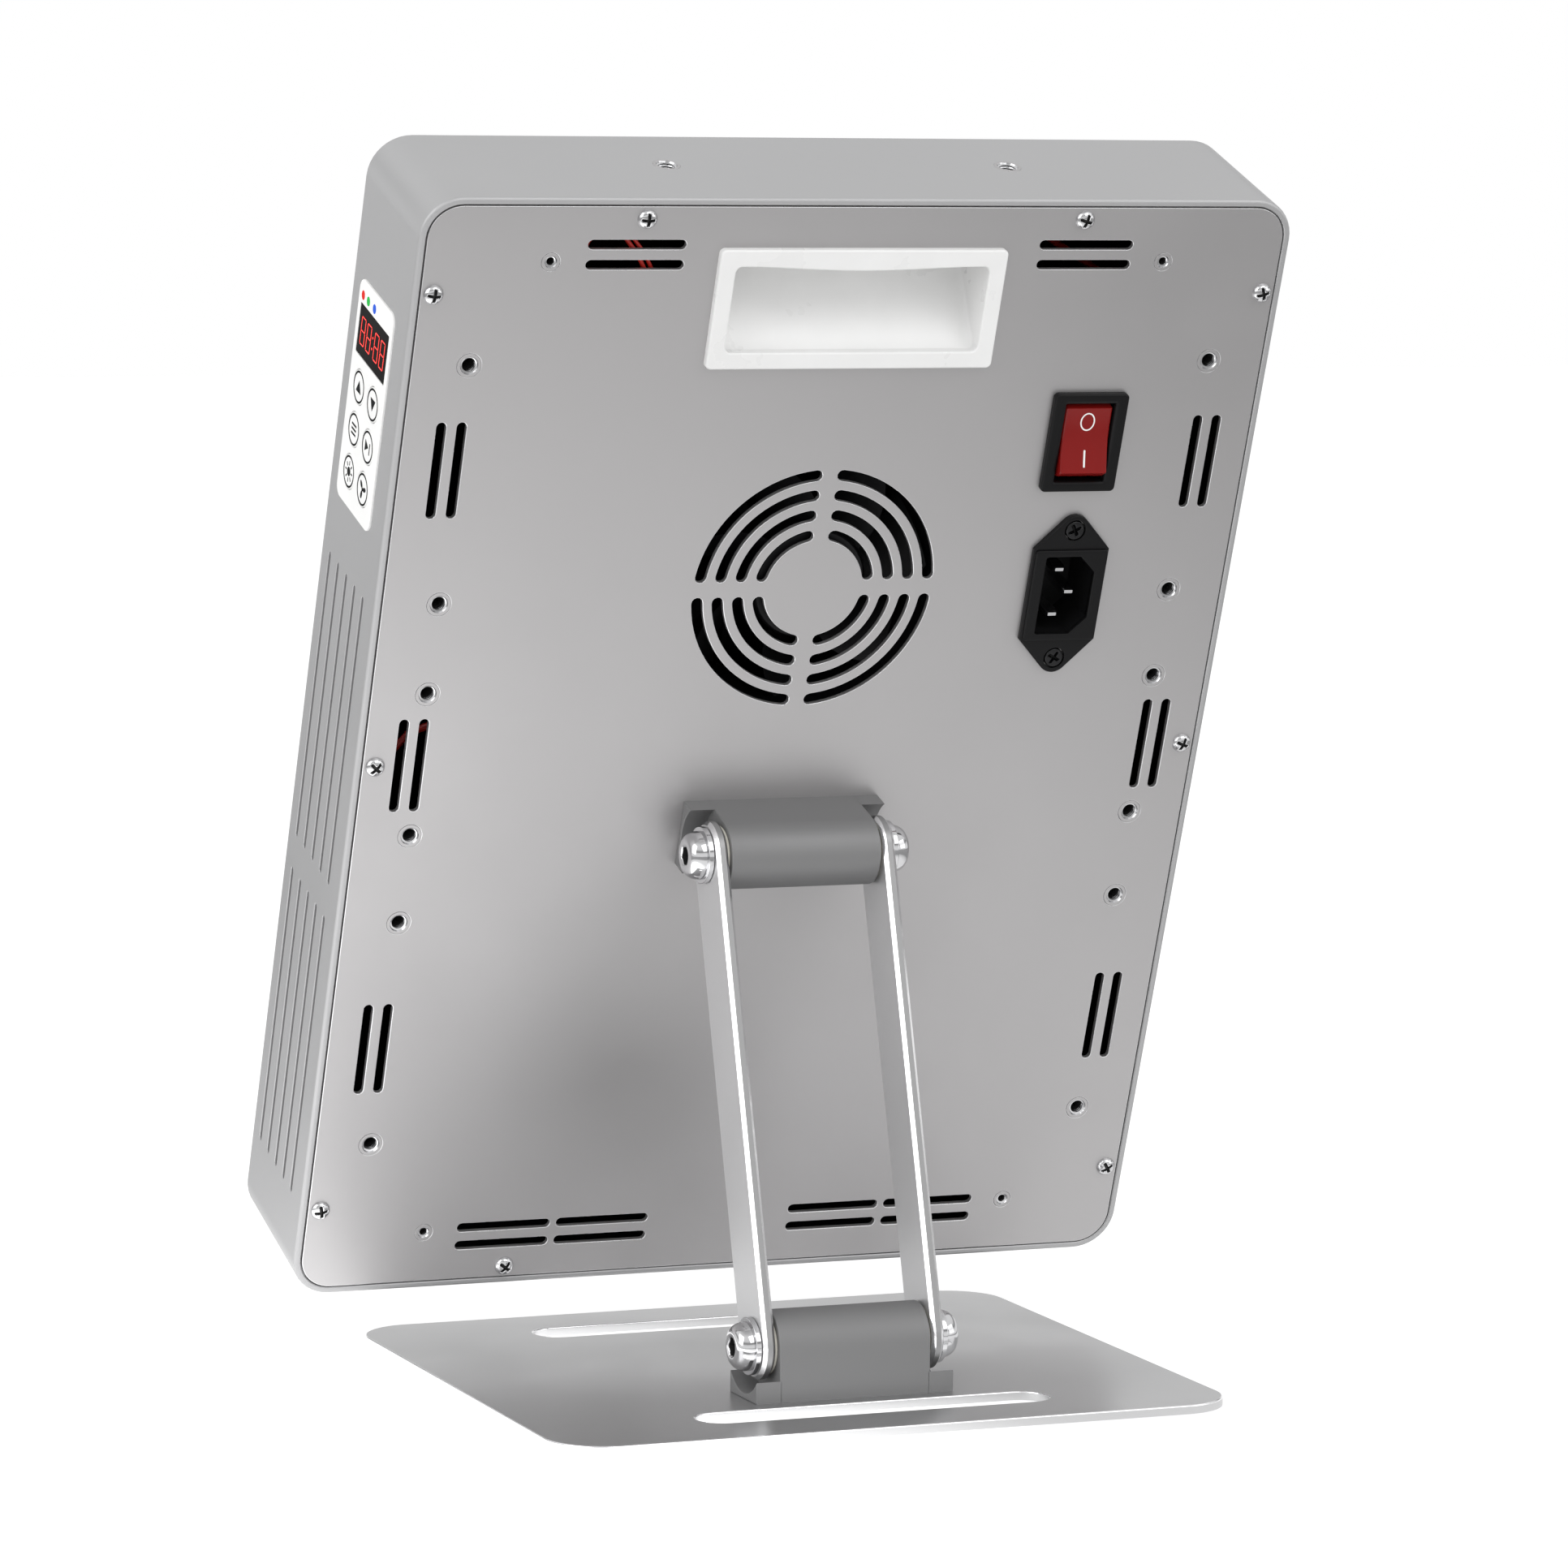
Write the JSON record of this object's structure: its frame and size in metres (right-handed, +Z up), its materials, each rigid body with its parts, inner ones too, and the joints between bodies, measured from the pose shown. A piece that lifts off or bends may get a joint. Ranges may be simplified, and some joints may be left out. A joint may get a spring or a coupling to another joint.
{
  "type": "led light panel",
  "caption": "Tabletop LED light panel in a flat rounded case with a vented rear cover, fan, recessed handle and key pad, tilting on a folding two-bar stand.",
  "frame": {"origin": "centre of the underside of the base plate", "axes": "+Z up, +Y towards the rear cover and the stand, the LED side faces -Y, +X towards the side with the key panel"},
  "size_m": [0.2612, 0.1989, 0.3549],
  "materials": {
    "base_aluminium": "satin",
    "bracket_aluminium": "satin",
    "arm_aluminium": "satin with bright edges",
    "case_aluminium": "satin",
    "cover_aluminium": "satin",
    "polished_steel": "polished",
    "zinc_steel": "zinc plated",
    "nylon": "natural nylon",
    "white_plastic": "soft gloss",
    "key_film": "printed film",
    "black_plastic": "fine texture",
    "black_screw": "black oxide",
    "red_rocker": "translucent gloss",
    "brass_pin": "plated",
    "circuit_board": "solder mask",
    "driver_housing": "satin",
    "front_white": "satin paint",
    "lens_clear": "clear",
    "board_white": "white solder mask",
    "led_phosphor": "silicone dome",
    "sink_aluminium": "plain",
    "wire_red": "insulation"
  },
  "bodies": {
    "base": {"base_plate": "base_aluminium", "lower_bracket": "bracket_aluminium", "lower_bracket_screws": "zinc_steel", "lower_pivot_bolts": "polished_steel", "lower_washers": "polished_steel", "lower_friction_washers": "nylon"},
    "arms": {"left_arm": "arm_aluminium", "right_arm": "arm_aluminium"},
    "head": {"upper_bracket": "bracket_aluminium", "upper_bracket_screws": "zinc_steel", "backing_plate": "zinc_steel", "upper_pivot_bolts": "polished_steel", "upper_washers": "polished_steel", "upper_friction_washers": "nylon", "case_shell": "case_aluminium", "case_top": "case_aluminium", "rear_cover": "cover_aluminium", "cover_screws": "polished_steel", "handle_cup": "white_plastic", "switch_body": "black_plastic", "inlet_body": "black_plastic", "inlet_pins": "brass_pin", "inlet_screws": "black_screw", "fan_frame": "black_plastic", "fan_studs": "zinc_steel", "fan_nuts": "zinc_steel", "rear_inserts": "zinc_steel", "small_inserts": "zinc_steel", "hanger_inserts": "zinc_steel", "key_overlay": "key_film", "key_board": "circuit_board", "display_module": "black_plastic", "control_board": "circuit_board", "control_standoffs": "brass_pin", "led_drivers": "driver_housing", "front_plate": "front_white", "lens_array": "lens_clear", "led_board": "board_white", "led_chips": "led_phosphor", "heat_sink": "sink_aluminium", "sink_screws": "zinc_steel", "sink_spacers": "sink_aluminium", "wire_harness": "wire_red"},
    "fan": {"fan_rotor": "black_plastic"},
    "rocker": {"switch_rocker": "red_rocker"},
    "key_up": {"key_up": "key_film"},
    "key_down": {"key_down": "key_film"},
    "key_mode": {"key_mode": "key_film"},
    "key_play": {"key_play": "key_film"},
    "key_brightness": {"key_brightness": "key_film"},
    "key_fan": {"key_fan": "key_film"}
  },
  "joints": [
    {"name": "arm_hinge", "type": "hinge", "parent": "base", "child": "arms", "pos_m": [0, 0.0425, 0.0177], "axis": [1, 0, 0], "range_deg": [-60, 3]},
    {"name": "head_tilt", "type": "hinge", "parent": "arms", "child": "head", "pos_m": [0, 0.0025, 0.15187], "axis": [1, 0, 0], "range_deg": [-50, 14]},
    {"name": "fan_spin", "type": "hinge", "parent": "head", "child": "fan", "pos_m": [0, 0.00118, 0.23291], "axis": [0, 0.9409, -0.3387], "continuous": true},
    {"name": "rocker_switch", "type": "hinge", "parent": "head", "child": "rocker", "pos_m": [-0.0762, 0.02563, 0.27129], "axis": [-1, 0, 0], "range_deg": [0, 18]},
    {"name": "key_up_press", "type": "slide", "parent": "head", "child": "key_up", "axis": [-1, 0, 0], "range_m": [0, 0.0004], "stiffness_N_per_m": 600},
    {"name": "key_down_press", "type": "slide", "parent": "head", "child": "key_down", "axis": [-1, 0, 0], "range_m": [0, 0.0004], "stiffness_N_per_m": 600},
    {"name": "key_mode_press", "type": "slide", "parent": "head", "child": "key_mode", "axis": [-1, 0, 0], "range_m": [0, 0.0004], "stiffness_N_per_m": 600},
    {"name": "key_play_press", "type": "slide", "parent": "head", "child": "key_play", "axis": [-1, 0, 0], "range_m": [0, 0.0004], "stiffness_N_per_m": 600},
    {"name": "key_brightness_press", "type": "slide", "parent": "head", "child": "key_brightness", "axis": [-1, 0, 0], "range_m": [0, 0.0004], "stiffness_N_per_m": 600},
    {"name": "key_fan_press", "type": "slide", "parent": "head", "child": "key_fan", "axis": [-1, 0, 0], "range_m": [0, 0.0004], "stiffness_N_per_m": 600}
  ]
}
